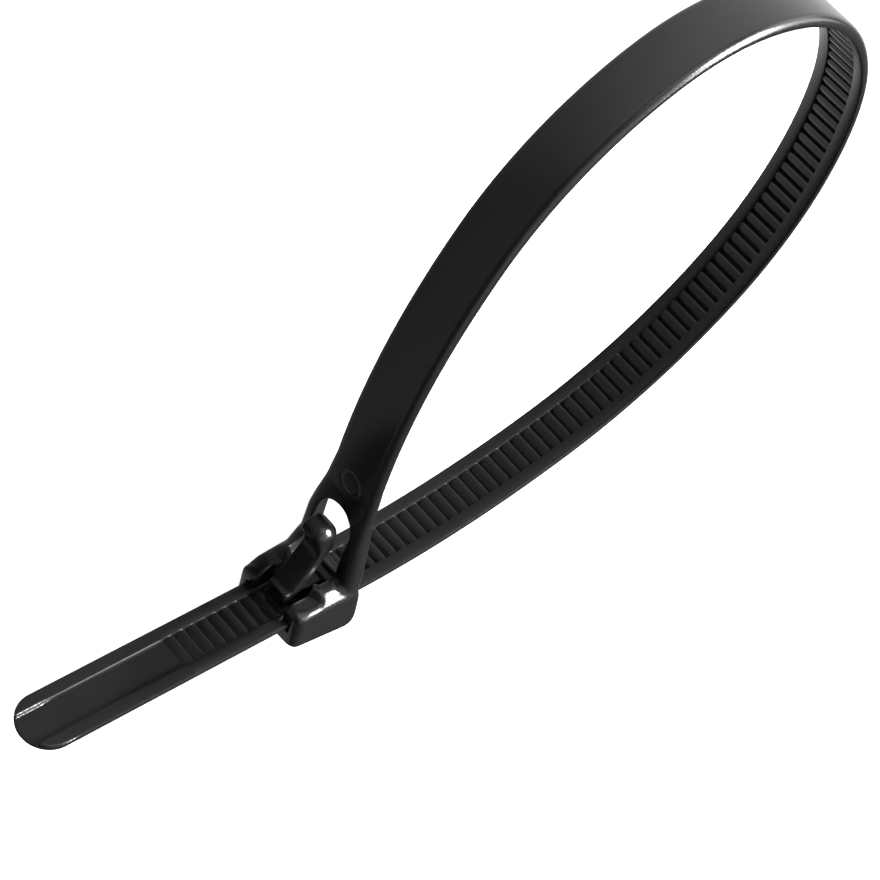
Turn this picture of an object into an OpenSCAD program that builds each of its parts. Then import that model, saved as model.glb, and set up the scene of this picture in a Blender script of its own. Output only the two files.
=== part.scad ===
// Releasable cable tie, closed into a teardrop loop and lying on its side.
// The loop's plane is level: X runs along the slot, Y along the neck, Z across the strap.

/* [Strap] */
// Width of the strap
strap_w = 7.6; // [7:0.1:8.6]
// Thickness of the strap over its rails
strap_t = 1.4; // [1.2:0.05:1.7]
// Width of the toothed channel between the rails
channel_w = 4.1; // [3.6:0.1:4.4]
// Depth of the channel below the rails
channel_d = 0.6; // [0.5:0.05:0.8]
// Rounding of the long edges on the smooth face
edge_r = 0.6; // [0.3:0.05:0.8]
// Edge break along the rails
rail_chamfer = 0.12; // [0.05:0.01:0.2]
// Length from the middle of the head to the tip of the tail
tail_len = 40.4; // [36:0.2:70]

/* [Teeth] */
// Distance from one tooth to the next
tooth_pitch = 1.61; // [1.4:0.01:1.9]
// Height of a tooth above the channel's floor
tooth_h = 0.45; // [0.3:0.01:0.48]
// Plain length of the tail before the first tooth
plain_tip = 21.5; // [18:0.5:24]
// Length of strap without teeth before the neck
plain_neck = 26; // [15:1:60]

/* [Loop] */
// Radius of the loop at its tightest bend
loop_r = 27.2; // [24:0.2:36]

/* [Neck] */
// Length of the neck from the strap's middle line in the slot
neck_len = 15.3; // [14.5:0.1:16]
// Thickness of the neck beside the window
neck_t = 1.6; // [1.4:0.05:1.9]
// Width of the window in the neck
window_w = 5.7; // [4.8:0.1:6]
// Height of the window's round end above the strap's middle line
window_top = 13.2; // [12.8:0.05:14]

/* [Head] */
// Width of the head across the strap
head_w = 10.5; // [10.2:0.1:12]
// Depth of the head along the slot
head_d = 9.4; // [9:0.1:10.5]
// Height of the head's cheeks above the strap's middle line
cheek_h = 3.85; // [3.7:0.05:4.3]
// Height of the two lips above the strap's middle line
lip_h = 2.6; // [2.3:0.05:2.9]
// Width of the gap between the lips
lip_gap = 5; // [4.6:0.1:5.4]
// Width of the bay behind the lips
bay_w = 4.1; // [3.8:0.1:4.4]
// Wall under the slot at the exit face
floor_exit = 2.2; // [1.6:0.05:2.6]
// Wall under the slot at the neck
floor_neck = 3.8; // [3:0.05:4.4]
// Thickness of the wall behind the bay
back_wall = 2.9; // [2.6:0.05:3.1]
// Rounding of the head's upper long edges
shoulder_r = 3; // [1.5:0.1:3.2]
// Rounding of the head's upright corners
corner_r = 0.6; // [0.3:0.1:1]

/* [Pawl] */
// Width of the pawl and its lever
pawl_w = 3.3; // [2.8:0.1:3.4]
// Thickness of the hinge that the pawl bends at
hinge_t = 0.8; // [0.5:0.05:1]
// Height of the lever's tip above the strap's middle line
lever_h = 12.5; // [11.5:0.1:12.8]
// Thickness of the lever's tip
lever_tip_t = 3.7; // [3:0.1:3.8]

/* [Fit] */
// Gap between the strap and the slot, and between the pawl and the teeth
slip = 0.1; // [0.06:0.01:0.15]

/* [Hidden] */
$fn = 48;
// A small overlap that joins solids
sink = 0.2;
// Bends of the loop in order: angle, and radius as a share of the tightest one
BENDS = [[20, 3.6], [28, 2], [46, 1.4], [110, 1], [40, 1.44], [26, 3]];
// Shift of the teeth along the strap from the middle of the head
crest_at = 0.22;
// Teeth in the pawl
pawl_teeth = 3;

half_t = strap_t / 2;
floor_n = half_t - channel_d;
// The neck's inner face is flush with the strap's
neck_x = head_d / 2 - 0.13 - half_t;
slot_top = half_t + slip;
head_x0 = -head_d / 2;
head_x1 = head_d / 2 + 0.1;
bay_x = head_x1 - back_wall;

// Heading before each bend, and the point where it ends when it starts at the origin
function heading(i) = i == 0 ? 0 : heading(i - 1) + BENDS[i - 1][0];
function bend_step(i, h) = let (r = BENDS[i][1] * loop_r, a = BENDS[i][0])
    [r * (sin(h + a) - sin(h)), r * (cos(h) - cos(h + a))];
function bends_sum(i) = i == 0 ? [0, 0] : bends_sum(i - 1) + bend_step(i - 1, heading(i - 1));
bends_end = bends_sum(len(BENDS));
// The two straight runs close the loop on the neck
slot_run = neck_x - bends_end[0];
neck_run = bends_end[1] - neck_len + 1;

// Pieces of the strap's middle line: length, and radius (0 where straight)
tail_run = tail_len - strap_w / 2 + slot_run;
RUNS = concat(
    [[tail_run, 0]],
    [for (b = BENDS) [b[1] * loop_r * b[0] * PI / 180, b[1] * loop_r]],
    [[neck_run, 0]]);
// Place at the start of each piece: x, y, heading and distance from the head's middle
function step(p, run) = let (l = run[0], r = run[1], a = r == 0 ? 0 : l / r * 180 / PI)
    r == 0 ? [p[0] + l * cos(p[2]), p[1] + l * sin(p[2]), p[2], p[3] + l]
           : [p[0] + r * (sin(p[2] + a) - sin(p[2])), p[1] + r * (cos(p[2]) - cos(p[2] + a)),
              p[2] + a, p[3] + l];
tail_end = slot_run - tail_run;
function place(i) = i == 0 ? [tail_end, 0, 0, tail_end] : step(place(i - 1), RUNS[i - 1]);
PLACES = [for (i = [0:len(RUNS)]) place(i)];
strap_end = PLACES[len(RUNS)][3];

// Point at distance s along the middle line, n to its left
function run_at(s, i = 0) = i == len(RUNS) - 1 || s < PLACES[i + 1][3] ? i : run_at(s, i + 1);
function at(s, n) = let (i = run_at(s), q = step(PLACES[i], [s - PLACES[i][3], RUNS[i][1]]))
    [q[0] - n * sin(q[2]), q[1] + n * cos(q[2])];

// Outline with its corners rounded: each point is x, y and radius
function unit(v) = v / norm(v);
function corner(a, b, c) = let (
        u = unit([a[0] - b[0], a[1] - b[1]]), v = unit([c[0] - b[0], c[1] - b[1]]),
        half = acos(u * v) / 2, r = b[2],
        m = [b[0], b[1]] + unit(u + v) * r / sin(half),
        p = [b[0], b[1]] + u * r / tan(half), q = [b[0], b[1]] + v * r / tan(half),
        a0 = atan2(p[1] - m[1], p[0] - m[0]), a1 = atan2(q[1] - m[1], q[0] - m[0]),
        turn = a1 - a0 > 180 ? a1 - a0 - 360 : a1 - a0 < -180 ? a1 - a0 + 360 : a1 - a0,
        steps = max(2, ceil(abs(turn) / 18)))
    r == 0 ? [[b[0], b[1]]]
           : [for (k = [0:steps]) let (a = a0 + turn * k / steps) m + r * [cos(a), sin(a)]];
function rounded(pts) = let (n = len(pts))
    [for (i = [0:n - 1]) each corner(pts[(i + n - 1) % n], pts[i], pts[(i + 1) % n])];

// Half of a section from the smooth face to the rails: distance to the left, height
function half_section(half_w, t, r) = concat(
    [for (a = [0:30:90]) [-t / 2 + r - r * cos(a), half_w - r + r * sin(a)]],
    [[t / 2 - rail_chamfer, half_w], [t / 2, half_w - rail_chamfer]]);
function mirrored(pts) = [for (i = [len(pts) - 1:-1:0]) [pts[i][0], -pts[i][1]]];
function strap_section(inset) = let (half = concat(
        half_section(strap_w / 2 - inset, strap_t - 2 * inset, edge_r),
        [[half_t - inset, channel_w / 2 + 0.1 + inset], [floor_n - inset, channel_w / 2 + inset]]))
    concat(half, mirrored(half));

// One stretch of the strap, straight or bent; every second one is let into its neighbours
module strap_run(i) {
    let_in = i % 2 == 1 ? sink : 0;
    section = strap_section(i % 2 == 1 ? 0.01 : 0);
    length = RUNS[i][0] + 2 * let_in;
    r = RUNS[i][1];
    translate([PLACES[i][0], PLACES[i][1], 0]) rotate([0, 0, PLACES[i][2]])
        if (r == 0)
            translate([-let_in, 0, 0]) rotate([90, 0, 90]) linear_extrude(length) polygon(section);
        else
            translate([0, r, 0]) rotate([0, 0, -90 - let_in / r * 180 / PI])
                rotate_extrude(angle = length / r * 180 / PI, $fn = 180)
                    polygon([for (p = section) [r - p[0], p[1]]]);
}

// The tail's end is half a turn of the strap's edge, with the channel running out through it
module tip() {
    let_in = sink / strap_w * 100;
    edge = half_section(strap_w / 2 - 0.01, strap_t - 0.02, edge_r);
    difference() {
        translate([tail_end, 0, 0]) rotate([-90, 0, 0])
            rotate_extrude(angle = 180 + 2 * let_in, start = 90 - let_in)
                polygon(concat([[0, -half_t + 0.01]], [for (p = edge) [p[1], p[0]]], [[0, half_t - 0.01]]));
        translate([tail_end, 0, 0]) rotate([90, 0, 90]) linear_extrude(2 * strap_w, center = true)
            polygon([[floor_n - 0.01, -channel_w / 2], [floor_n - 0.01, channel_w / 2],
                     [half_t + 1, channel_w / 2 + 0.1], [half_t + 1, -channel_w / 2 - 0.1]]);
    }
}

// Teeth along the channel as one rack: each rises towards the loop and drops steeply
TOOTH = [[-0.76, 0], [-0.14, 1], [0.06, 1], [0.2, 0]];
first_tooth = ceil((plain_tip - tail_len - crest_at) / tooth_pitch);
last_tooth = floor((strap_end - plain_neck - crest_at) / tooth_pitch);
module rack() {
    crests = [for (k = [first_tooth:last_tooth]) crest_at + k * tooth_pitch];
    top = [for (s = crests) for (t = TOOTH) at(s + t[0] * tooth_pitch, floor_n - 0.02 + t[1] * tooth_h)];
    under = [for (i = [len(crests) - 1:-1:0]) for (t = [TOOTH[3], TOOTH[0]])
                at(crests[i] + t[0] * tooth_pitch, floor_n - sink)];
    linear_extrude(channel_w + sink, center = true) polygon(concat(top, under));
}

module strap() {
    tip();
    for (i = [0:len(RUNS) - 1]) strap_run(i);
    rack();
}

// The neck widens and thickens from the strap to the head
flare_y = 4.5;
function neck_ring(y, half_w, t) = let (half = half_section(half_w, t, edge_r))
    [for (p = concat(half, mirrored(half))) [neck_x + half_t - t / 2 + p[0], y, p[1]]];
module neck() {
    rings = [neck_ring(0, head_w / 2 - 0.15, neck_t), neck_ring(flare_y, head_w / 2 - 0.15, neck_t),
             neck_ring(neck_len, strap_w / 2, strap_t)];
    n = len(rings[0]);
    polyhedron(points = [for (ring = rings) each ring],
        faces = concat(
            [[for (i = [0:n - 1]) i]],
            [for (k = [0:len(rings) - 2]) for (i = [0:n - 1]) let (j = (i + 1) % n)
                each [[k * n + i, (k + 1) * n + i, k * n + j],
                      [k * n + j, (k + 1) * n + i, (k + 1) * n + j]]],
            [[for (i = [n - 1:-1:0]) (len(rings) - 1) * n + i]]));
}

// The head is where three rounded outlines meet: from the side, from its end and in plan
module head_block() {
    half = head_w / 2;
    exit_y = -slot_top - floor_exit;
    neck_y = -slot_top - floor_neck;
    intersection() {
        linear_extrude(head_w, center = true)
            polygon(rounded([[head_x0, exit_y, 0.7], [head_x1 + 0.7, neck_y, 1.5],
                             [head_x1 - 0.1, cheek_h, 1.2], [head_x0, cheek_h, 0.5]]));
        rotate([90, 0, 90]) linear_extrude(4 * head_d, center = true)
            polygon(rounded([[neck_y - 1, -half, 0], [cheek_h, -half, shoulder_r],
                             [cheek_h, half, shoulder_r], [neck_y - 1, half, 0]]));
        rotate([90, 0, 0]) linear_extrude(4 * head_d, center = true)
            polygon(rounded([[head_x0, -half, corner_r], [head_x1 + 0.7, -half, 1.2],
                             [head_x1 + 0.7, half, 1.2], [head_x0, half, corner_r]]));
    }
}

module slot() {
    cube([4 * head_d, 2 * slot_top, strap_w + 2 * slip], center = true);
}

// Room for the pawl, open to the exit and to the lever's side
step_x = -1.6;
module bay() {
    rotate([-90, 0, 0]) linear_extrude(2 * head_d)
        polygon([[-head_d, -lip_gap / 2], [step_x + 0.2, -lip_gap / 2], [step_x + 1, -bay_w / 2],
                 [bay_x, -bay_w / 2], [bay_x, bay_w / 2], [step_x + 1, bay_w / 2],
                 [step_x + 0.2, lip_gap / 2], [-head_d, lip_gap / 2]]);
}

// The lips are cut lower than the cheeks, along a slanting step, and rounded at the exit
lip_r = 0.7;
step_lean = 0.7;
module lip_cut() {
    for (side = [-1, 1])
        translate([step_x, lip_h, side * lip_gap / 2]) rotate([0, side * 18, 0])
            linear_extrude(2 * head_w, center = true)
                polygon([[-head_d, 0], [0, 0], [step_lean * 3, 3], [-head_d, 3]]);
    linear_extrude(2 * head_w, center = true)
        polygon(concat(
            [[head_x0 - 1, lip_h - lip_r], [head_x0 - 1, lip_h + 1], [head_x0 + lip_r, lip_h + 1]],
            [for (a = [90:15:180]) [head_x0 + lip_r + lip_r * cos(a), lip_h - lip_r + lip_r * sin(a)]]));
}

// The window's sill carries a low bead; the window is set a little off the middle
window_sill = 2.6;
window_z = -0.45;
module window() {
    round_y = window_top - window_w / 2;
    translate([0, 0, window_z]) {
        translate([0, round_y, 0]) rotate([0, 90, 0]) cylinder(h = head_d, d = window_w);
        translate([0, window_sill, -window_w / 2]) cube([head_d, round_y - window_sill, window_w]);
    }
}
// A fillet at the foot of each leg of the neck
module feet() {
    x = neck_x + half_t - neck_t;
    r = 0.9;
    half = head_w / 2;
    intersection() {
        linear_extrude(head_w, center = true)
            polygon(concat([[x + 0.3, 1], [x + 0.3, cheek_h + r]],
                [for (a = [0:15:90]) [x - r + r * cos(a), cheek_h + r - 0.1 - r * sin(a)]], [[x - r, 1]]));
        rotate([90, 0, 90]) linear_extrude(4 * head_d, center = true)
            polygon(rounded([[0, -half, 0], [cheek_h + r, -half, shoulder_r + 0.4],
                             [cheek_h + r, half, shoulder_r + 0.4], [0, half, 0]]));
    }
}
module bead() {
    translate([neck_x + half_t - neck_t + 0.35, window_sill, 0])
        cylinder(h = bay_w - 0.3, r = 0.45, center = true);
}

// Pawl and lever in one outline: toe, lever, hinge, then the teeth underneath
toe_x = head_x0 + 0.5;
toe_y = 3;
pawl_top = 2.3;
tip_x = -1.5;
knob_h = 4.2;
root_x = -1.9;
module pawl_and_lever() {
    reach = floor_n + slip;
    teeth_y = floor_n + tooth_h + slip;
    crest = [for (k = [0:pawl_teeth - 1]) crest_at + (k - 2) * tooth_pitch];
    under = [for (i = [pawl_teeth - 1:-1:0]) let (s = crest[i])
                each [[s + 0.3 * tooth_pitch, reach, 0], [s + 0.1 * tooth_pitch, teeth_y, 0],
                      [s - 0.14 * tooth_pitch, teeth_y, 0], [s - 0.6 * tooth_pitch, reach + 0.1, 0]]];
    intersection() {
        linear_extrude(pawl_w, center = true)
            polygon(rounded(concat(
                [[toe_x, teeth_y + 0.1, 0.15], [toe_x, toe_y, 0.25], [toe_x + 0.9, toe_y + 0.1, 0.4],
                 [-0.1, lever_h - knob_h, 2.6], [tip_x, lever_h - 0.9, 0.6],
                 [tip_x + lever_tip_t / 2, lever_h + 0.1, 2], [tip_x + lever_tip_t, lever_h - 1.1, 1],
                 [tip_x + lever_tip_t - 0.7, lever_h - knob_h + 0.7, 1.2],
                 [root_x + 1.6, pawl_top + 2.7, 2], [root_x, pawl_top, 0.3]],
                [[bay_x + sink, pawl_top, 0], [bay_x + sink, pawl_top - hinge_t, 0],
                 [bay_x - 0.5, pawl_top - hinge_t, 0.4], [crest[pawl_teeth - 1] + tooth_pitch, teeth_y, 0]],
                under)));
        // The tip is rounded across its width
        rotate([90, 0, 90]) linear_extrude(2 * head_d, center = true)
            polygon(rounded([[-1, -pawl_w / 2, 0], [lever_h, -pawl_w / 2, 1.3],
                             [lever_h, pawl_w / 2, 1.3], [-1, pawl_w / 2, 0]]));
    }
}

module cable_tie() {
    color([0.05, 0.05, 0.05]) translate([0, 0, head_w / 2]) {
        strap();
        difference() {
            union() {
                head_block();
                neck();
                feet();
            }
            slot();
            bay();
            lip_cut();
            window();
        }
        bead();
        pawl_and_lever();
    }
}

cable_tie();
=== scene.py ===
"""Looks for the releasable cable tie: one black nylon moulding, closed into a loop and lying on its side."""
import math

import bmesh
import bpy
import numpy as np
from mathutils import Matrix, Vector


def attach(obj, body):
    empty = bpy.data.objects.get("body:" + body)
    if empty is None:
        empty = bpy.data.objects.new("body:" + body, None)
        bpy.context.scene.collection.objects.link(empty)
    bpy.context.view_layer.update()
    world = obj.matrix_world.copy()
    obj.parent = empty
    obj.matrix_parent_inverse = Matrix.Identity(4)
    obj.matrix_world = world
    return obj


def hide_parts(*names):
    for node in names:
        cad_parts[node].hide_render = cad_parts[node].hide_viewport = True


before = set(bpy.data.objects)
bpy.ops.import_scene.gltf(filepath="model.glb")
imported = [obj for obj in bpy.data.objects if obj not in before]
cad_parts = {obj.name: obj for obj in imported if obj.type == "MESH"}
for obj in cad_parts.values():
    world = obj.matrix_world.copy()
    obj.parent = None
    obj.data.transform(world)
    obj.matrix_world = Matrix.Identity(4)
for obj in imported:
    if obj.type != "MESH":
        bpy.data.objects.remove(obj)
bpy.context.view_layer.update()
scene = bpy.context.scene

MM = 0.001
FAR_OFF = 1e9

# Sizes are in millimetres, in the loop's own frame: x along the slot, y along the neck, z across the strap.
# Mid width is z 0, and the side above it, which lies uppermost, is the near side.
STRAP_W, STRAP_T = 7.6, 1.4
CHANNEL_W, CHANNEL_D = 4.1, 0.6
HALF_T = STRAP_T / 2
FLOOR_N = HALF_T - CHANNEL_D
CHANNEL_HALF = CHANNEL_W / 2 + 0.05
# Rounding of the strap's outer edges, of the rails' outer edges and of the channel's edges
EDGE_R, RAIL_R, LEDGE_R = 0.9, 0.2, 0.2

# The rack of teeth, with the strap's smooth lengths at the tail and at the neck
TAIL_LEN, PLAIN_TIP, PLAIN_NECK = 40.4, 21.5, 26.0
TOOTH_PITCH, TOOTH_H, CREST_AT = 1.61, 0.45, 0.22
# Shares of the pitch: where the crest mark lies, where the rounded back ends, and the foot of the steep side
CREST_SHARE, BACK_END, STEEP_END = 0.7, 0.62, 0.88
VALLEY_DIP = 0.07

# The loop's bends from the slot round to the neck: degrees, and the radius as a share of LOOP_R
LOOP_R = 27.2
BENDS = [(20, 3.6), (28, 2), (46, 1.4), (110, 1), (40, 1.44), (26, 3)]
NECK_R = BENDS[-1][1] * LOOP_R

NECK_X, NECK_LEN, NECK_T, FLARE_Y = 3.87, 15.3, 1.6, 4.5
NECK_OVERLAP = 1.0
WINDOW_TOP, WINDOW_R, WINDOW_Z = 13.2, 2.85, -0.45
RING_Y, RING_Z, RING_R, RING_HALF, RING_DEPTH = 17.55, -0.15, 1.55, 0.13, 0.07

# The head from its exit face to its entry face, its cheeks, its lips and the bay behind them
HEAD_X0, HEAD_X1, HEAD_W = -4.7, 4.8, 10.5
HALF_HEAD = HEAD_W / 2
CHEEK_TOP, SHOULDER_R, KEEL_Y = 3.85, 3.0, -9.0
LIP_NEAR, LIP_FAR, LIP_GAP = 2.6, 3.6, 5.0
STEP_X, STEP_LEAN, STEP_TURN = -1.6, 0.7, math.radians(18)
BAY_W, BAY_END, SILL_Y = 4.1, 1.9, 2.6
BEAD_X, BEAD_HALF, BEAD_R = 3.32, 1.5, 0.45
SLIP = 0.1

TOE_X, KNOB_X, KNOB_T, LEVER_TOP = -4.2, -1.6, 3.9, 12.65
LEVER_W, PAWL_W = 3.3, 2.8

# The grids that the head and the tail's end are skinned on. Their odd decimals keep flat faces off the grid's
# planes. ZIP_GAP is the room between a skin and the swept strap, and SHARP the angle of an edge kept crisp.
PITCH = 0.15
HEAD_LOW, HEAD_HIGH = (-5.941, -4.961, -5.517), (6.27, 19.7, 5.52)
TIP_LOW, TIP_HIGH = (-40.81, -1.043, -4.173), (-35.9, 1.05, 4.18)
ZIP_GAP = 0.1
SHARP = math.radians(38)

# camera

PHOTO_PIXELS, FOCAL_PIXELS, SENSOR = 880, 3493.93, 36.0


def set_camera():
    """The camera that the photograph was taken with, found from the tie's own outlines."""
    right = Vector((0.74455, 0.22383766, 0.6289213))
    down = Vector((-0.37990643, -0.63259898, 0.67489972))
    ahead = Vector((0.54892295, -0.74142783, -0.3859642))
    place = Vector((-205.42449, 317.60663, 161.5205)) * MM
    camera = bpy.data.objects.new("camera", bpy.data.cameras.new("camera"))
    turn = Matrix((right, -down, -ahead)).transposed().to_4x4()
    camera.matrix_world = Matrix.Translation(place) @ turn
    camera.data.sensor_width = SENSOR
    camera.data.lens = SENSOR * FOCAL_PIXELS / PHOTO_PIXELS
    camera.data.clip_start = 0.01
    camera.data.clip_end = 20.0
    scene.collection.objects.link(camera)
    scene.camera = camera


set_camera()

# nodes


def add_node(tree, kind, inputs=None, **settings):
    """A new node. An input is given as a plain value, or as another node's output to link from."""
    made = tree.nodes.new(kind)
    for name, setting in settings.items():
        setattr(made, name, setting)
    for socket, value in (inputs or {}).items():
        if isinstance(value, bpy.types.NodeSocket):
            tree.links.new(value, made.inputs[socket])
        else:
            made.inputs[socket].default_value = value
    return made


def maths(tree, operation, *values):
    return add_node(tree, "ShaderNodeMath", dict(enumerate(values)), operation=operation).outputs[0]


def new_material(name):
    made = bpy.data.materials.new(name)
    made.use_nodes = True
    return made, made.node_tree, made.node_tree.nodes["Principled BSDF"]


# stage

BOARD_HALF, BOARD_TOP = 3.0, -0.00002


def lay_floor():
    """A pale board under the tie. The camera sees it plain white, with no shadow. What the nylon mirrors of it
    is a painted reflection, uneven on purpose: bright beyond the loop, dimmer beside the tail, and a painted
    shade darkest in front of the lever."""
    made, tree, surface = new_material("pale_board")
    surface.inputs["Roughness"].default_value = 0.9
    surface.inputs["Specular IOR Level"].default_value = 0.1
    surface.inputs["Emission Color"].default_value = (1, 1, 1, 1)
    ray = add_node(tree, "ShaderNodeLightPath")
    place = add_node(tree, "ShaderNodeTexCoord").outputs["Object"]
    tone = add_node(tree, "ShaderNodeMix", {"A": (0.25, 0.25, 0.25, 1), "B": (0, 0, 0, 1),
                                            "Factor": ray.outputs["Is Glossy Ray"]}, data_type="RGBA")
    tree.links.new(tone.outputs["Result"], surface.inputs["Base Color"])

    def ramp(measure, vector, span, glow):
        """Glow that changes over a span of metres, along a direction or away from a place."""
        metres = add_node(tree, "ShaderNodeVectorMath", {0: place, 1: vector}, operation=measure)
        given = {"Value": metres.outputs["Value"], "From Min": span[0], "From Max": span[1],
                 "To Min": glow[0], "To Max": glow[1]}
        return add_node(tree, "ShaderNodeMapRange", given, interpolation_type="SMOOTHSTEP").outputs["Result"]

    # Painted reflection, glowing only for mirror rays; the ramp by the lever is a painted shade
    beyond_loop = ramp("DOT_PRODUCT", (0.7, 0.7, 0), (0.045, 0.095), (0.0, 1.0))
    beside_tail = ramp("DOT_PRODUCT", (-0.12, 1, 0), (0.002, 0.006), (0.4, 0.24))
    painted_shade_by_lever = ramp("DISTANCE", (-0.0115, 0.0105, 0), (0.006, 0.014), (0.03, 1.0))
    painted_reflection = maths(tree, "MULTIPLY_ADD", beside_tail, painted_shade_by_lever, beyond_loop)
    painted_reflection = maths(tree, "MULTIPLY", ray.outputs["Is Glossy Ray"], painted_reflection)
    glow = maths(tree, "ADD", ray.outputs["Is Camera Ray"], painted_reflection)
    tree.links.new(glow, surface.inputs["Emission Strength"])
    mesh = bpy.data.meshes.new("board")
    corners = [(x * BOARD_HALF, y * BOARD_HALF, BOARD_TOP) for x, y in ((-1, -1), (1, -1), (1, 1), (-1, 1))]
    mesh.from_pydata(corners, [], [(0, 1, 2, 3)])
    mesh.materials.append(made)
    board = bpy.data.objects.new("board", mesh)
    scene.collection.objects.link(board)


lay_floor()

# Lamps: the way from the tie, the distance and the two sides in metres, and watts
AIM = Vector((0.012, 0.028, 0.005))
LAMPS = {
    "key": ((0.62, 0.27, 0.73), 0.9, (0.25, 0.9), 27.0),
    "key_end": ((0.55, 0.39, 0.74), 0.9, (0.3, 0.3), 34.0),
    "right": ((0.9, 0.1, 0.5), 1.0, (0.5, 0.5), 3.0),
    "low_right": ((0.85, 0.5, 0.2), 1.0, (0.8, 0.5), 3.5),
    "side": ((0.1, 0.9, 0.4), 1.0, (0.8, 0.6), 2.0),
    "top": ((0.0, 0.0, 1.0), 1.6, (1.8, 1.8), 6.0),
}
# The lamps' first sides are square to this
LAMP_UP = Vector((0, -1, 0.4))
WORLD_LIGHT = 0.1


def set_lights():
    for name, (way, distance, size, watts) in LAMPS.items():
        lamp = bpy.data.objects.new(name, bpy.data.lights.new(name, "AREA"))
        lamp.data.shape = "RECTANGLE"
        lamp.data.size, lamp.data.size_y = size
        lamp.data.energy = watts
        place = AIM + Vector(way).normalized() * distance
        back = (place - AIM).normalized()
        side = LAMP_UP.cross(back).normalized()
        turn = Matrix((side, back.cross(side), back)).transposed().to_4x4()
        lamp.matrix_world = Matrix.Translation(place) @ turn
        scene.collection.objects.link(lamp)
    world = bpy.data.worlds.new("studio")
    world.use_nodes = True
    sky = world.node_tree.nodes["Background"]
    sky.inputs["Color"].default_value = (1, 1, 1, 1)
    sky.inputs["Strength"].default_value = WORLD_LIGHT
    scene.world = world
    scene.view_settings.view_transform = "Standard"


set_lights()

# nylon

CLOUD_SCALE = 140


def moulded_grain():
    """Moulded nylon's fine grain and slow, cloudy sheen, for any part of the moulding."""
    group = bpy.data.node_groups.new("moulded_grain", "ShaderNodeTree")
    for name, kind in (("Colour", "Color"), ("Grain scale", "Float"), ("Grain depth", "Float"),
                       ("Gloss", "Float"), ("Gloss spread", "Float")):
        group.interface.new_socket(name=name, in_out="INPUT", socket_type="NodeSocket" + kind)
    for name, kind in (("Colour", "Color"), ("Roughness", "Float"), ("Normal", "Vector")):
        group.interface.new_socket(name=name, in_out="OUTPUT", socket_type="NodeSocket" + kind)
    given = add_node(group, "NodeGroupInput").outputs
    place = add_node(group, "ShaderNodeTexCoord").outputs["Object"]

    def noise(scale, detail):
        made = add_node(group, "ShaderNodeTexNoise", {"Vector": place, "Scale": scale, "Detail": detail})
        return made.outputs["Fac"]

    grain, clouds = noise(given["Grain scale"], 3), noise(CLOUD_SCALE, 2)

    metres = maths(group, "MULTIPLY", maths(group, "MULTIPLY", grain, given["Grain depth"]), MM)
    bump = add_node(group, "ShaderNodeBump", {"Strength": 1.0, "Distance": 1.0, "Height": metres})

    both = maths(group, "MULTIPLY_ADD", clouds, 0.5, maths(group, "MULTIPLY", grain, 0.5))
    uneven = maths(group, "SUBTRACT", both, 0.5)
    rough = maths(group, "MULTIPLY_ADD", uneven, given["Gloss spread"], given["Gloss"])

    shade = add_node(group, "ShaderNodeMapRange", {"Value": clouds, "To Min": 0.8, "To Max": 1.25})
    tint = add_node(group, "ShaderNodeVectorMath", {0: given["Colour"], "Scale": shade.outputs["Result"]},
                    operation="SCALE")
    add_node(group, "NodeGroupOutput", {"Colour": tint.outputs["Vector"], "Roughness": rough,
                                        "Normal": bump.outputs["Normal"]})
    return group


def black_nylon():
    made, tree, surface = new_material("black_nylon")
    grain = tree.nodes.new("ShaderNodeGroup")
    grain.node_tree = moulded_grain()
    for name, value in (("Colour", (0.005, 0.005, 0.0053, 1)), ("Grain scale", 4000.0),
                        ("Grain depth", 0.018), ("Gloss", 0.23), ("Gloss spread", 0.1)):
        grain.inputs[name].default_value = value
    for out, into in (("Colour", "Base Color"), ("Roughness", "Roughness"), ("Normal", "Normal")):
        tree.links.new(grain.outputs[out], surface.inputs[into])
    surface.inputs["IOR"].default_value = 1.5
    surface.inputs["Specular IOR Level"].default_value = 0.5
    return made


NYLON = black_nylon()

# the strap's middle line


def bend(x, y, heading, r, a):
    """Place and heading after a left bend of radius r through the angle a."""
    x += r * (math.sin(heading + a) - math.sin(heading))
    y += r * (math.cos(heading) - math.cos(heading + a))
    return x, y, heading + a


def loop_runs():
    """Where the line starts, and the length and radius of its pieces up to the neck; radius 0 is straight."""
    x = y = heading = 0.0
    for angle, share in BENDS:
        x, y, heading = bend(x, y, heading, share * LOOP_R, math.radians(angle))
    start = -(TAIL_LEN - STRAP_W / 2)
    runs = [(NECK_X - x - start, 0.0)]
    runs += [(share * LOOP_R * math.radians(angle), share * LOOP_R) for angle, share in BENDS]
    runs.append((y - NECK_LEN + NECK_OVERLAP, 0.0))
    return start, runs


TAIL_END, RUNS = loop_runs()
STRAP_END = TAIL_END + sum(length for length, r in RUNS)
# Where the loop's last bend meets the straight neck
NECK_TOP = NECK_LEN - NECK_OVERLAP + RUNS[-1][0]


def at(s):
    """Place and heading on the middle line at distance s from the middle of the head."""
    x, y, heading, done = TAIL_END, 0.0, 0.0, TAIL_END
    for i, (length, r) in enumerate(RUNS):
        step = s - done if i == len(RUNS) - 1 else min(s - done, length)
        if r:
            x, y, heading = bend(x, y, heading, r, step / r)
        else:
            x += step * math.cos(heading)
            y += step * math.sin(heading)
        done += length
        if s <= done:
            break
    return x, y, heading


# forms as distances, negative inside


def blend_out(a, b, r):
    """Both forms, with a fillet where they meet."""
    return np.maximum(np.minimum(a, b), r) - np.hypot(np.maximum(r - a, 0), np.maximum(r - b, 0))


def blend_in(a, b, r):
    """What both forms share, with a rounded edge."""
    return np.minimum(np.maximum(a, b), -r) + np.hypot(np.maximum(r + a, 0), np.maximum(r + b, 0))


def fade(value, start, end):
    """0 up to start, 1 from end on, and even between them."""
    return np.clip((value - start) / (end - start), 0, 1)


def table(value, rows):
    """Reads rows of place and size, evenly between them."""
    return np.interp(value, *zip(*rows))


def sided(z, near, far):
    """One value on the near side and one on the far side."""
    return np.where(z > 0, near, far)


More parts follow.
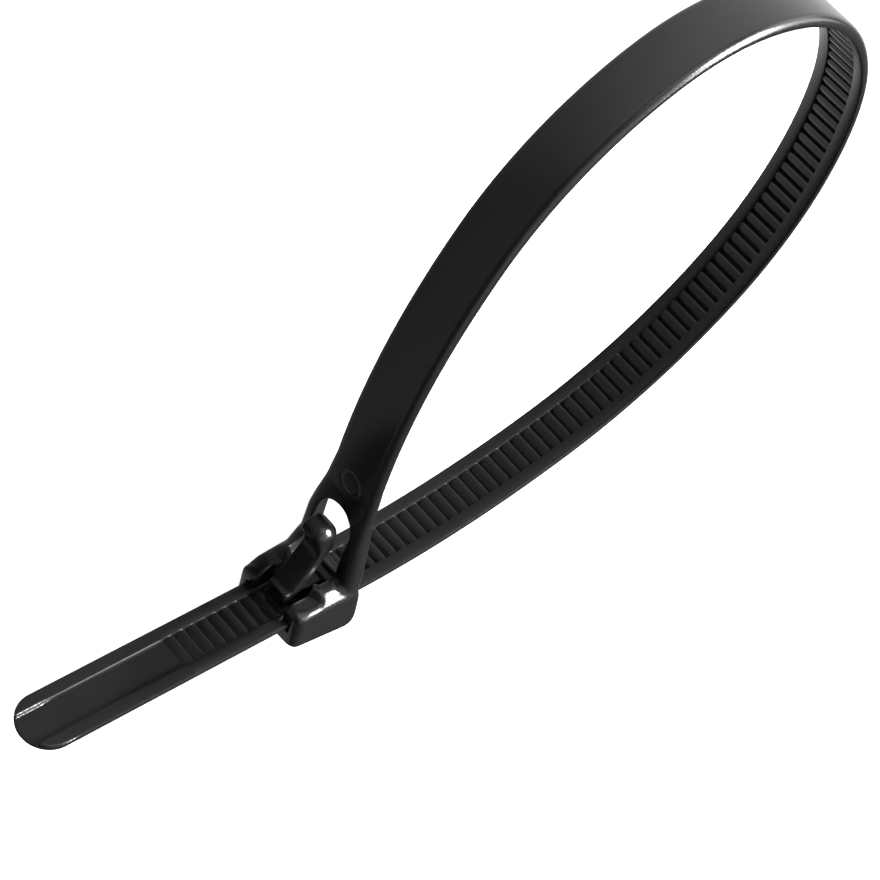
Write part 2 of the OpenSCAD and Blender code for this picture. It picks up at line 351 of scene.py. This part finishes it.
def rounded(points, steps=6):
    """An outline with its corners rounded: each point is u, v and radius."""
    out = []
    for i, (u, v, r) in enumerate(points):
        here = Vector((u, v))
        back = (Vector(points[i - 1][:2]) - here).normalized()
        ahead = (Vector(points[(i + 1) % len(points)][:2]) - here).normalized()
        if r == 0:
            out.append((u, v))
            continue
        half = back.angle(ahead) / 2
        middle = here + (back + ahead).normalized() * r / math.sin(half)
        p, q = here + back * r / math.tan(half), here + ahead * r / math.tan(half)
        a0 = math.atan2(*(p - middle).yx)
        a1 = math.atan2(*(q - middle).yx)
        turn = (a1 - a0 + math.pi) % (2 * math.pi) - math.pi
        angles = [a0 + turn * k / steps for k in range(steps + 1)]
        out += [tuple(middle + Vector((math.cos(a), math.sin(a))) * r) for a in angles]
    return out


def outline(u, v, points):
    """Distance to a closed outline."""
    shape = np.broadcast(u, v).shape
    best, inside = np.full(shape, FAR_OFF), np.zeros(shape, bool)
    for (au, av), (bu, bv) in zip(points, points[1:] + points[:1]):
        eu, ev = bu - au, bv - av
        span = eu * eu + ev * ev
        if span < 1e-12:
            continue
        t = np.clip(((u - au) * eu + (v - av) * ev) / span, 0, 1)
        best = np.minimum(best, np.hypot(u - au - t * eu, v - av - t * ev))
        if ev:
            inside ^= ((av > v) != (bv > v)) & (u < au + (v - av) * eu / ev)
    return np.where(inside, -best, best)


# a skin over a form


def grid(low, high):
    """The three axes of a grid from low to high."""
    axes = [np.arange(a, b + PITCH / 2, PITCH) for a, b in zip(low, high)]
    return axes[0][:, None, None], axes[1][None, :, None], axes[2][None, None, :]


def skin_points(field, cells):
    """One point in each cell: the middle of the places where the surface crosses the cell's edges."""
    total, count = np.zeros((len(cells), 3)), np.zeros(len(cells))
    for axis in range(3):
        others = [k for k in range(3) if k != axis]
        for shift in np.ndindex(2, 2):
            start = cells.copy()
            start[:, others] += shift
            end = start.copy()
            end[:, axis] += 1
            f0, f1 = field[tuple(start.T)], field[tuple(end.T)]
            hit = (f0 < 0) != (f1 < 0)
            point = start[hit].astype(float)
            point[:, axis] += (f0 / np.where(hit, f0 - f1, 1))[hit]
            total[hit] += point
            count[hit] += 1
    return total / count[:, None]


def skin_quads(inside, index):
    """A quad round each grid edge that crosses the surface, through the points of its four cells."""
    quads = []
    for axis in range(3):
        a, b = (axis + 1) % 3, (axis + 2) % 3
        f0, f1 = np.moveaxis(inside, axis, 0)[:-1], np.moveaxis(inside, axis, 0)[1:]
        edges = np.argwhere(np.moveaxis(f0 != f1, 0, axis))
        across, limit = edges[:, [a, b]], np.array(inside.shape)[[a, b]] - 1
        edges = edges[((across > 0) & (across < limit)).all(1)]
        ring = []
        for oa, ob in ((1, 1), (0, 1), (0, 0), (1, 0)):
            cell = edges.copy()
            cell[:, a] -= oa
            cell[:, b] -= ob
            ring.append(index[tuple(cell.T)])
        quad = np.stack(ring, 1)
        flip = ~np.moveaxis(f0, 0, axis)[tuple(edges.T)]
        quad[flip] = quad[flip][:, ::-1]
        quads.append(quad)
    return np.concatenate(quads)


def skin(field, low):
    """Points and quads of the surface where the field is 0; it is left open where it runs out of the grid."""
    inside = field < 0
    corners = np.zeros(np.array(field.shape) - 1, np.int8)
    nx, ny, nz = corners.shape
    for dx, dy, dz in np.ndindex(2, 2, 2):
        corners += inside[dx:dx + nx, dy:dy + ny, dz:dz + nz]
    crossed = (corners > 0) & (corners < 8)
    cells = np.argwhere(crossed)
    index = np.full(crossed.shape, -1)
    index[crossed] = np.arange(len(cells))
    return skin_points(field, cells) * PITCH + np.array(low), skin_quads(inside, index)


# head, neck, pawl and lever

# Along the neck: its thickness, half its width on either side, and the rounding of its outer edges
NECK_THICK = (FLARE_Y, NECK_T + 0.8), (9.0, NECK_T + 0.6), (NECK_LEN, STRAP_T)
NECK_NEAR = (5.0, 4.8), (9.0, 4.45), (13.5, 3.92), (HEAD_HIGH[1], STRAP_W / 2)
NECK_FAR = (9.5, 5.1), (12.0, 4.8), (15.0, 4.3), (HEAD_HIGH[1], STRAP_W / 2)
NECK_EDGE = (9.0, 1.3), (NECK_LEN, EDGE_R)
# Along the head: how far the far cheek stands above the near one
FAR_CLIMB = (-5.2, 0.2), (-4.2, 0.55), (0.5, 1.0)


def neck_field(x, y, z):
    """The neck, from the wide root up to the plain strap above it."""
    x = x - (NECK_R - np.sqrt(NECK_R * NECK_R - np.maximum(y - NECK_TOP, 0) ** 2))
    half = sided(z, table(y, NECK_NEAR), table(y, NECK_FAR))
    body = blend_in(NECK_X + HALF_T - table(y, NECK_THICK) - x, np.abs(z) - half, table(y, NECK_EDGE))
    body = blend_in(body, x - NECK_X - HALF_T, RAIL_R)
    channel = np.maximum(np.maximum(NECK_X + FLOOR_N - x, np.abs(z) - CHANNEL_HALF), NECK_LEN - y)
    body = np.maximum(blend_in(body, -channel, LEDGE_R), -y)
    # The ring that the ejector pin left on the outer face
    ring = np.abs(np.hypot(y - RING_Y, z - RING_Z) - RING_R)
    groove = np.maximum(ring - RING_HALF, np.abs(x - NECK_X + HALF_T) - RING_DEPTH)
    return blend_in(body, -groove, r=0.06)


def head_block(x, y, z):
    """The head's outer form with its two cheeks, from its three outlines."""
    climb = table(x, FAR_CLIMB) * fade(y, 1, 3) * fade(z, -1, -3)
    side = outline(x, y - climb, rounded([
        (HEAD_X0 - 0.2, -3.0, 0.7), (HEAD_X1 + 1.0, -4.6, 1.7),
        (HEAD_X1 - 0.3, CHEEK_TOP, 1.0), (HEAD_X0 - 0.7, CHEEK_TOP, 0.5)]))
    end = outline(z, y - climb, rounded([
        (-HALF_HEAD, KEEL_Y, 0), (HALF_HEAD, KEEL_Y, 0),
        (HALF_HEAD, CHEEK_TOP, SHOULDER_R), (-HALF_HEAD, CHEEK_TOP, SHOULDER_R)]))
    plan = outline(x, z, rounded([
        (HEAD_X0 - 0.95, -HALF_HEAD, 1.1), (HEAD_X1 + 0.9, -HALF_HEAD, 1.2),
        (HEAD_X1 + 0.9, HALF_HEAD, 1.2), (HEAD_X0, HALF_HEAD, 1.5)]))
    return blend_in(blend_in(end, plan, r=0.3), side, r=0.55)


def lip_cut(x, y, z):
    """What is cut off above the lips, along a leaning, slanted step in front of the cheeks."""
    along = math.cos(STEP_TURN) * (x - STEP_X) - math.sin(STEP_TURN) * (np.abs(z) - LIP_GAP / 2)
    lip_top = sided(z, LIP_NEAR, LIP_FAR)
    return blend_in(lip_top - y, (along - STEP_LEAN * (y - lip_top)) / math.hypot(1, STEP_LEAN), r=0.2)


def bay(x, y, z):
    """The gap between the lips, and the narrower bay behind them."""
    half = [(2 * HEAD_X0, -LIP_GAP / 2), (STEP_X + 0.2, -LIP_GAP / 2),
            (STEP_X + 1.0, -BAY_W / 2), (BAY_END, -BAY_W / 2)]
    return np.maximum(outline(x, z, half + [(u, -v) for u, v in reversed(half)]), -y)


def window(x, y, z):
    """The window through the neck and the top of the back wall."""
    middle = WINDOW_TOP - WINDOW_R
    opening = np.where(y > middle, np.hypot(y - middle, z - WINDOW_Z) - WINDOW_R,
                       np.maximum(np.abs(z - WINDOW_Z) - WINDOW_R, SILL_Y - y))
    return np.maximum(opening, -x)


def head_field(x, y, z):
    """The head and neck, without the pawl and lever."""
    # The lips' edges are rounder at the exit face
    edge = 0.4 + sided(z, 0.6, 2.0) * fade(x, -2.9, -4.3)
    whole = blend_in(head_block(x, y, z), -lip_cut(x, y, z), r=edge)
    whole = blend_in(whole, -bay(x, y, z), r=0.22)
    # The neck's two legs grow out of the cheeks with wide fillets
    foot = fade(x, 4.3, 3.1) * sided(z, 0.85 * fade(z, 5.0, 3.8), 1.7 * fade(y, 2.4, 3.6))
    whole = blend_out(whole, neck_field(x, y, z), r=0.2 + foot)
    whole = blend_in(whole, np.abs(z) - HALF_HEAD, r=0.1)
    whole = blend_in(whole, -window(x, y, z), r=0.35)
    # The slot for the strap, and the bead on the window's sill
    slot = np.maximum(np.abs(y) - HALF_T - SLIP, np.abs(z) - STRAP_W / 2 - SLIP)
    whole = blend_in(whole, -slot, r=0.12)
    bead = np.hypot(np.hypot(x - BEAD_X, y - SILL_Y), np.maximum(np.abs(z) - BEAD_HALF, 0)) - BEAD_R
    return blend_out(whole, bead, r=0.15)


def pawl_outline():
    """The pawl from the side: its three teeth stand in the strap's rack."""
    reach, root = FLOOR_N + SLIP, FLOOR_N + TOOTH_H + SLIP
    heel = TOE_X + 0.15
    points = [(heel, root + 0.1), (heel, 2.75), (-1.8, 2.75), (-1.5, 2.3), (2.1, 2.3), (2.1, 1.5), (1.4, 1.5),
              (CREST_AT + TOOTH_PITCH, root)]
    for s in (CREST_AT - k * TOOTH_PITCH for k in range(3)):
        points += [(s + 0.3 * TOOTH_PITCH, reach), (s + 0.1 * TOOTH_PITCH, root),
                   (s - 0.14 * TOOTH_PITCH, root), (s - 0.6 * TOOTH_PITCH, reach + 0.1)]
    return points


def lever_outline():
    """The lever from the side: toe, front, knob and back."""
    return rounded([
        (TOE_X, 2.6, 0.1), (TOE_X, 3.0, 0.12), (TOE_X + 0.9, 3.1, 0.4), (-0.1, 8.3, 2.6), (KNOB_X, 11.4, 0.9),
        (KNOB_X + KNOB_T / 2, LEVER_TOP + 0.15, 1.9), (KNOB_X + KNOB_T, 11.2, 1.2),
        (KNOB_X + KNOB_T - 0.5, 9.0, 1.2), (-0.3, 5.0, 2.0), (-1.6, 2.9, 0.3), (-1.9, 2.5, 0.1)])


def pawl_field(x, y, z):
    """The pawl with the lever on it, whose knob is rounder on the near side."""
    soft = 0.3 + sided(z, 1.15, 0.2) * fade(y, 8.6, 11.2)
    lever = blend_in(outline(x, y, lever_outline()), np.abs(z) - LEVER_W / 2, r=soft)
    pawl = blend_in(outline(x, y, pawl_outline()), np.abs(z) - PAWL_W / 2, r=0.12)
    return blend_out(lever, pawl, r=0.12)


def head_skin():
    x, y, z = grid(HEAD_LOW, HEAD_HIGH)
    return skin(blend_out(head_field(x, y, z), pawl_field(x, y, z), r=0.25), HEAD_LOW)


def tip_skin():
    """The tail's rounded end."""
    x, y, z = grid(TIP_LOW, TIP_HIGH)
    plan = np.hypot(np.minimum(x - TAIL_END, 0), z) - STRAP_W / 2
    body = blend_in(blend_in(plan, -HALF_T - y, EDGE_R), y - HALF_T, RAIL_R)
    channel = np.maximum(FLOOR_N - y, np.abs(z) - CHANNEL_HALF)
    return skin(blend_in(body, -channel, LEDGE_R), TIP_LOW)


# the strap, swept along the loop

FIRST_TOOTH = math.ceil((PLAIN_TIP - TAIL_LEN - CREST_AT) / TOOTH_PITCH)
LAST_TOOTH = math.floor((STRAP_END - PLAIN_NECK - CREST_AT) / TOOTH_PITCH)
# Where the section is set within each tooth, as shares of the pitch, and how far apart elsewhere
TOOTH_RINGS = 0.02, 0.12, 0.26, 0.44, BACK_END, 0.72, 0.8, 0.85, STEEP_END
PLAIN_STEP, RACK_MARGIN = 1.2, 0.5


def section_points():
    """The strap's section: distance left of the line, place across it, and 1 on the channel's floor."""
    def arc(n, z, r, first, step):
        """A corner from the angle first down to a right angle less, in degrees."""
        angles = np.radians(np.arange(first, first - 91, -step))
        return [(n + r * math.cos(a), z + r * math.sin(a), 0) for a in angles]

    side = STRAP_W / 2
    half = [(-HALF_T, side - EDGE_R - 0.2, 0)]
    half += arc(EDGE_R - HALF_T, side - EDGE_R, EDGE_R, 180, 22.5)
    half += arc(HALF_T - RAIL_R, side - RAIL_R, RAIL_R, 90, 45)
    half += arc(HALF_T - LEDGE_R, CHANNEL_HALF + LEDGE_R, LEDGE_R, 0, 45)
    half += [(FLOOR_N, CHANNEL_HALF, 1), (FLOOR_N, CHANNEL_HALF - 0.15, 1)]
    return half + [(n, -z, floor) for n, z, floor in reversed(half)]


def ring_places(start, end):
    """Distances along the line at which the section is set: close together at each tooth's edges."""
    teeth = [CREST_AT + (k + part - CREST_SHARE) * TOOTH_PITCH
             for k in range(FIRST_TOOTH, LAST_TOOTH + 1) for part in TOOTH_RINGS]
    before = list(np.arange(start, teeth[0] - RACK_MARGIN, PLAIN_STEP))
    after = list(np.arange(teeth[-1] + RACK_MARGIN, end - RACK_MARGIN, PLAIN_STEP))
    return sorted(teeth + before + after + [end])


def line_mesh(name, points, closed, **values):
    """A mesh of edges through the points, with a value or vector for each point."""
    mesh = bpy.data.meshes.new(name)
    edges = [(i, i + 1) for i in range(len(points) - 1)] + ([(len(points) - 1, 0)] if closed else [])
    mesh.from_pydata(points, edges, [])
    for key, data in values.items():
        vector = np.ndim(data) > 1
        layer = mesh.attributes.new(key, "FLOAT_VECTOR" if vector else "FLOAT", "POINT")
        layer.data.foreach_set("vector" if vector else "value", np.array(data, np.float32).ravel())
    obj = bpy.data.objects.new(name, mesh)
    scene.collection.objects.link(obj)
    return obj


def strap_tree():
    """Sweeps a section along a line and raises its floor into a rack of teeth."""
    tree = bpy.data.node_groups.new("toothed_strap", "GeometryNodeTree")
    for name, kind in (("Line", "Geometry"), ("Section", "Object"), ("Pitch", "Float"),
                       ("Tooth height", "Float"), ("Tooth phase", "Float"), ("First", "Float"),
                       ("Last", "Float"), ("Finish", "Material")):
        tree.interface.new_socket(name=name, in_out="INPUT", socket_type="NodeSocket" + kind)
    tree.interface.new_socket(name="Strap", in_out="OUTPUT", socket_type="NodeSocketGeometry")
    given = add_node(tree, "NodeGroupInput").outputs

    def field(name, kind="FLOAT"):
        made = add_node(tree, "GeometryNodeInputNamedAttribute", {"Name": name}, data_type=kind)
        return made.outputs["Attribute"]

    def clamp(value):
        return add_node(tree, "ShaderNodeClamp", {"Value": value}).outputs[0]

    line = add_node(tree, "GeometryNodeMeshToCurve", {"Mesh": given["Line"]})
    level = add_node(tree, "GeometryNodeSetCurveNormal", {"Curve": line.outputs["Curve"]}, mode="Z_UP")
    shape = add_node(tree, "GeometryNodeObjectInfo", {"Object": given["Section"]})
    section = add_node(tree, "GeometryNodeMeshToCurve", {"Mesh": shape.outputs["Geometry"]})
    sweep = add_node(tree, "GeometryNodeCurveToMesh", {"Curve": level.outputs["Curve"],
                                                       "Profile Curve": section.outputs["Curve"]})

    # A tooth rises in a quarter round over its back and falls in another down its steep side
    run = field("run")
    turns = maths(tree, "ADD", maths(tree, "DIVIDE", run, given["Pitch"]), given["Tooth phase"])
    phase = maths(tree, "FRACT", turns)
    back = clamp(maths(tree, "DIVIDE", maths(tree, "SUBTRACT", BACK_END, phase), BACK_END))
    steep = clamp(maths(tree, "DIVIDE", maths(tree, "SUBTRACT", phase, BACK_END), STEEP_END - BACK_END))
    off = maths(tree, "ADD", maths(tree, "MULTIPLY", back, back), maths(tree, "MULTIPLY", steep, steep))
    tooth = maths(tree, "SQRT", maths(tree, "SUBTRACT", 1.0, off))
    rise = maths(tree, "MULTIPLY", tooth, maths(tree, "ADD", given["Tooth height"], VALLEY_DIP))
    proud = maths(tree, "SUBTRACT", rise, VALLEY_DIP)
    rack = maths(tree, "MULTIPLY", maths(tree, "GREATER_THAN", run, given["First"]),
                 maths(tree, "LESS_THAN", run, given["Last"]))
    height = maths(tree, "MULTIPLY", proud, maths(tree, "MULTIPLY", rack, field("floor")))
    lift = add_node(tree, "ShaderNodeVectorMath", {0: field("left", "FLOAT_VECTOR"), "Scale": height},
                    operation="SCALE")
    move = add_node(tree, "GeometryNodeSetPosition", {"Geometry": sweep.outputs["Mesh"],
                                                      "Offset": lift.outputs["Vector"]})
    real = add_node(tree, "GeometryNodeRealizeInstances", {"Geometry": move.outputs["Geometry"]})
    finish = add_node(tree, "GeometryNodeSetMaterial", {"Geometry": real.outputs["Geometry"],
                                                        "Material": given["Finish"]})
    add_node(tree, "NodeGroupOutput", {"Strap": finish.outputs["Geometry"]})
    return tree


def plain_mesh(obj):
    """The evaluated result as a mesh of its own; the object that made it is removed."""
    bpy.context.view_layer.update()
    mesh = bpy.data.meshes.new_from_object(obj.evaluated_get(bpy.context.evaluated_depsgraph_get()))
    bpy.data.objects.remove(obj)
    return mesh


def strap_skin():
    """Points and quads of the strap, which ends just clear of the two skins that it is zipped to."""
    rise = HEAD_HIGH[1] + ZIP_GAP - NECK_TOP
    end = STRAP_END - RUNS[-1][0] - NECK_R * math.asin(rise / NECK_R)
    places = ring_places(TIP_HIGH[0] + ZIP_GAP, end)
    spots = [at(s) for s in places]
    line = line_mesh("line", [(x, y, 0) for x, y, a in spots], False, run=places,
                     left=[(-math.sin(a), math.cos(a), 0) for x, y, a in spots])
    profile = section_points()
    section = line_mesh("section", [(-n, -z, 0) for n, z, floor in profile], True,
                        floor=[floor for n, z, floor in profile])
    modifier = line.modifiers.new("strap", "NODES")
    modifier.node_group = strap_tree()
    given = {"Section": section, "Pitch": TOOTH_PITCH, "Tooth height": TOOTH_H,
             "Tooth phase": CREST_SHARE - CREST_AT / TOOTH_PITCH,
             "First": CREST_AT + (FIRST_TOOTH - CREST_SHARE) * TOOTH_PITCH,
             "Last": CREST_AT + (LAST_TOOTH + 1 - CREST_SHARE) * TOOTH_PITCH, "Finish": NYLON}
    for item in modifier.node_group.interface.items_tree:
        if item.in_out == "INPUT" and item.name in given:
            modifier[item.identifier] = given[item.name]
    mesh = plain_mesh(line)
    bpy.data.objects.remove(section)
    points = np.zeros(len(mesh.vertices) * 3)
    mesh.vertices.foreach_get("co", points)
    quads = np.array([list(face.vertices) for face in mesh.polygons])
    bpy.data.meshes.remove(mesh)
    return points.reshape(-1, 3), quads


# one moulding


def rims(quads):
    """The open edges of a mesh, as ordered loops of points."""
    edges = {(a, b) for quad in quads for a, b in zip(quad, np.roll(quad, -1))}
    after = {a: b for a, b in edges if (b, a) not in edges}
    loops = []
    while after:
        first, step = after.popitem()
        loop = [first]
        while step != first:
            loop.append(step)
            step = after.pop(step)
        loops.append(loop)
    return loops


def turn_of(loop):
    """Area vector of a closed loop of points."""
    middle = loop.mean(0)
    return np.cross(loop - middle, np.roll(loop, -1, 0) - middle).sum(0)


def zip_rims(points, one, two):
    """Triangles between two loops of points that lie side by side."""
    if turn_of(points[one]) @ turn_of(points[two]) < 0:
        two = two[::-1]
    gaps = np.linalg.norm(points[one][:, None] - points[two][None], axis=2)
    i, j = np.unravel_index(gaps.argmin(), gaps.shape)
    one, two = one[i:] + one[:i + 1], two[j:] + two[:j + 1]
    i = j = 0
    faces = []
    while i < len(one) - 1 or j < len(two) - 1:
        ahead = np.linalg.norm(points[one[i + 1]] - points[two[j]]) if i < len(one) - 1 else FAR_OFF
        other = np.linalg.norm(points[one[i]] - points[two[j + 1]]) if j < len(two) - 1 else FAR_OFF
        if ahead < other:
            faces.append((one[i + 1], one[i], two[j]))
            i += 1
        else:
            faces.append((one[i], two[j], two[j + 1]))
            j += 1
    return faces


def closed_mesh(head, strap, tip):
    """One closed mesh in metres, of the three skins with their rims zipped, resting on the floor."""
    points, quads, rim_sets, done = [], [], [], 0
    for skin_part, faces in (head, strap, tip):
        points.append(skin_part)
        quads.append(faces + done)
        rim_sets.append(rims(quads[-1]))
        done += len(skin_part)
    points = np.concatenate(points)
    (head_rim,), strap_rims, (tip_rim,) = rim_sets
    faces = [tuple(quad) for part in quads for quad in part]
    for rim in strap_rims:
        at_head = points[rim][:, 0].mean() > 0
        faces += zip_rims(points, rim, head_rim if at_head else tip_rim)
    points = (points + np.array((0, 0, HALF_HEAD))) * MM
    mesh = bpy.data.meshes.new("draft")
    mesh.from_pydata(points.tolist(), [], [tuple(int(i) for i in face) for face in faces])
    mesh.materials.append(NYLON)
    return mesh


def moulding():
    """The whole tie as one piece, smooth but for the strap's sharp edges."""
    head, strap, tip = head_skin(), strap_skin(), tip_skin()
    mesh = closed_mesh(head, strap, tip)
    shape = bmesh.new()
    shape.from_mesh(mesh)
    bmesh.ops.recalc_face_normals(shape, faces=shape.faces)
    for face in shape.faces:
        face.smooth = True
    strap_range = range(len(head[0]), len(head[0]) + len(strap[0]))
    for edge in shape.edges:
        on_strap = all(corner.index in strap_range for corner in edge.verts)
        if on_strap and len(edge.link_faces) == 2 and edge.calc_face_angle() > SHARP:
            edge.smooth = False
    open_edges = sum(len(edge.link_faces) != 2 for edge in shape.edges)
    triangles = sum(len(face.verts) - 2 for face in shape.faces)
    print("moulding:", len(shape.verts), "points,", triangles, "triangles,", open_edges, "open edges")
    shape.to_mesh(mesh)
    shape.free()
    draft = bpy.data.objects.new("draft", mesh)
    scene.collection.objects.link(draft)
    draft.modifiers.new("even", "WEIGHTED_NORMAL").keep_sharp = True
    piece = bpy.data.objects.new("tie_moulding", plain_mesh(draft))
    scene.collection.objects.link(piece)
    return piece


tie = moulding()
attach(tie, "root")
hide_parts("cable_tie")
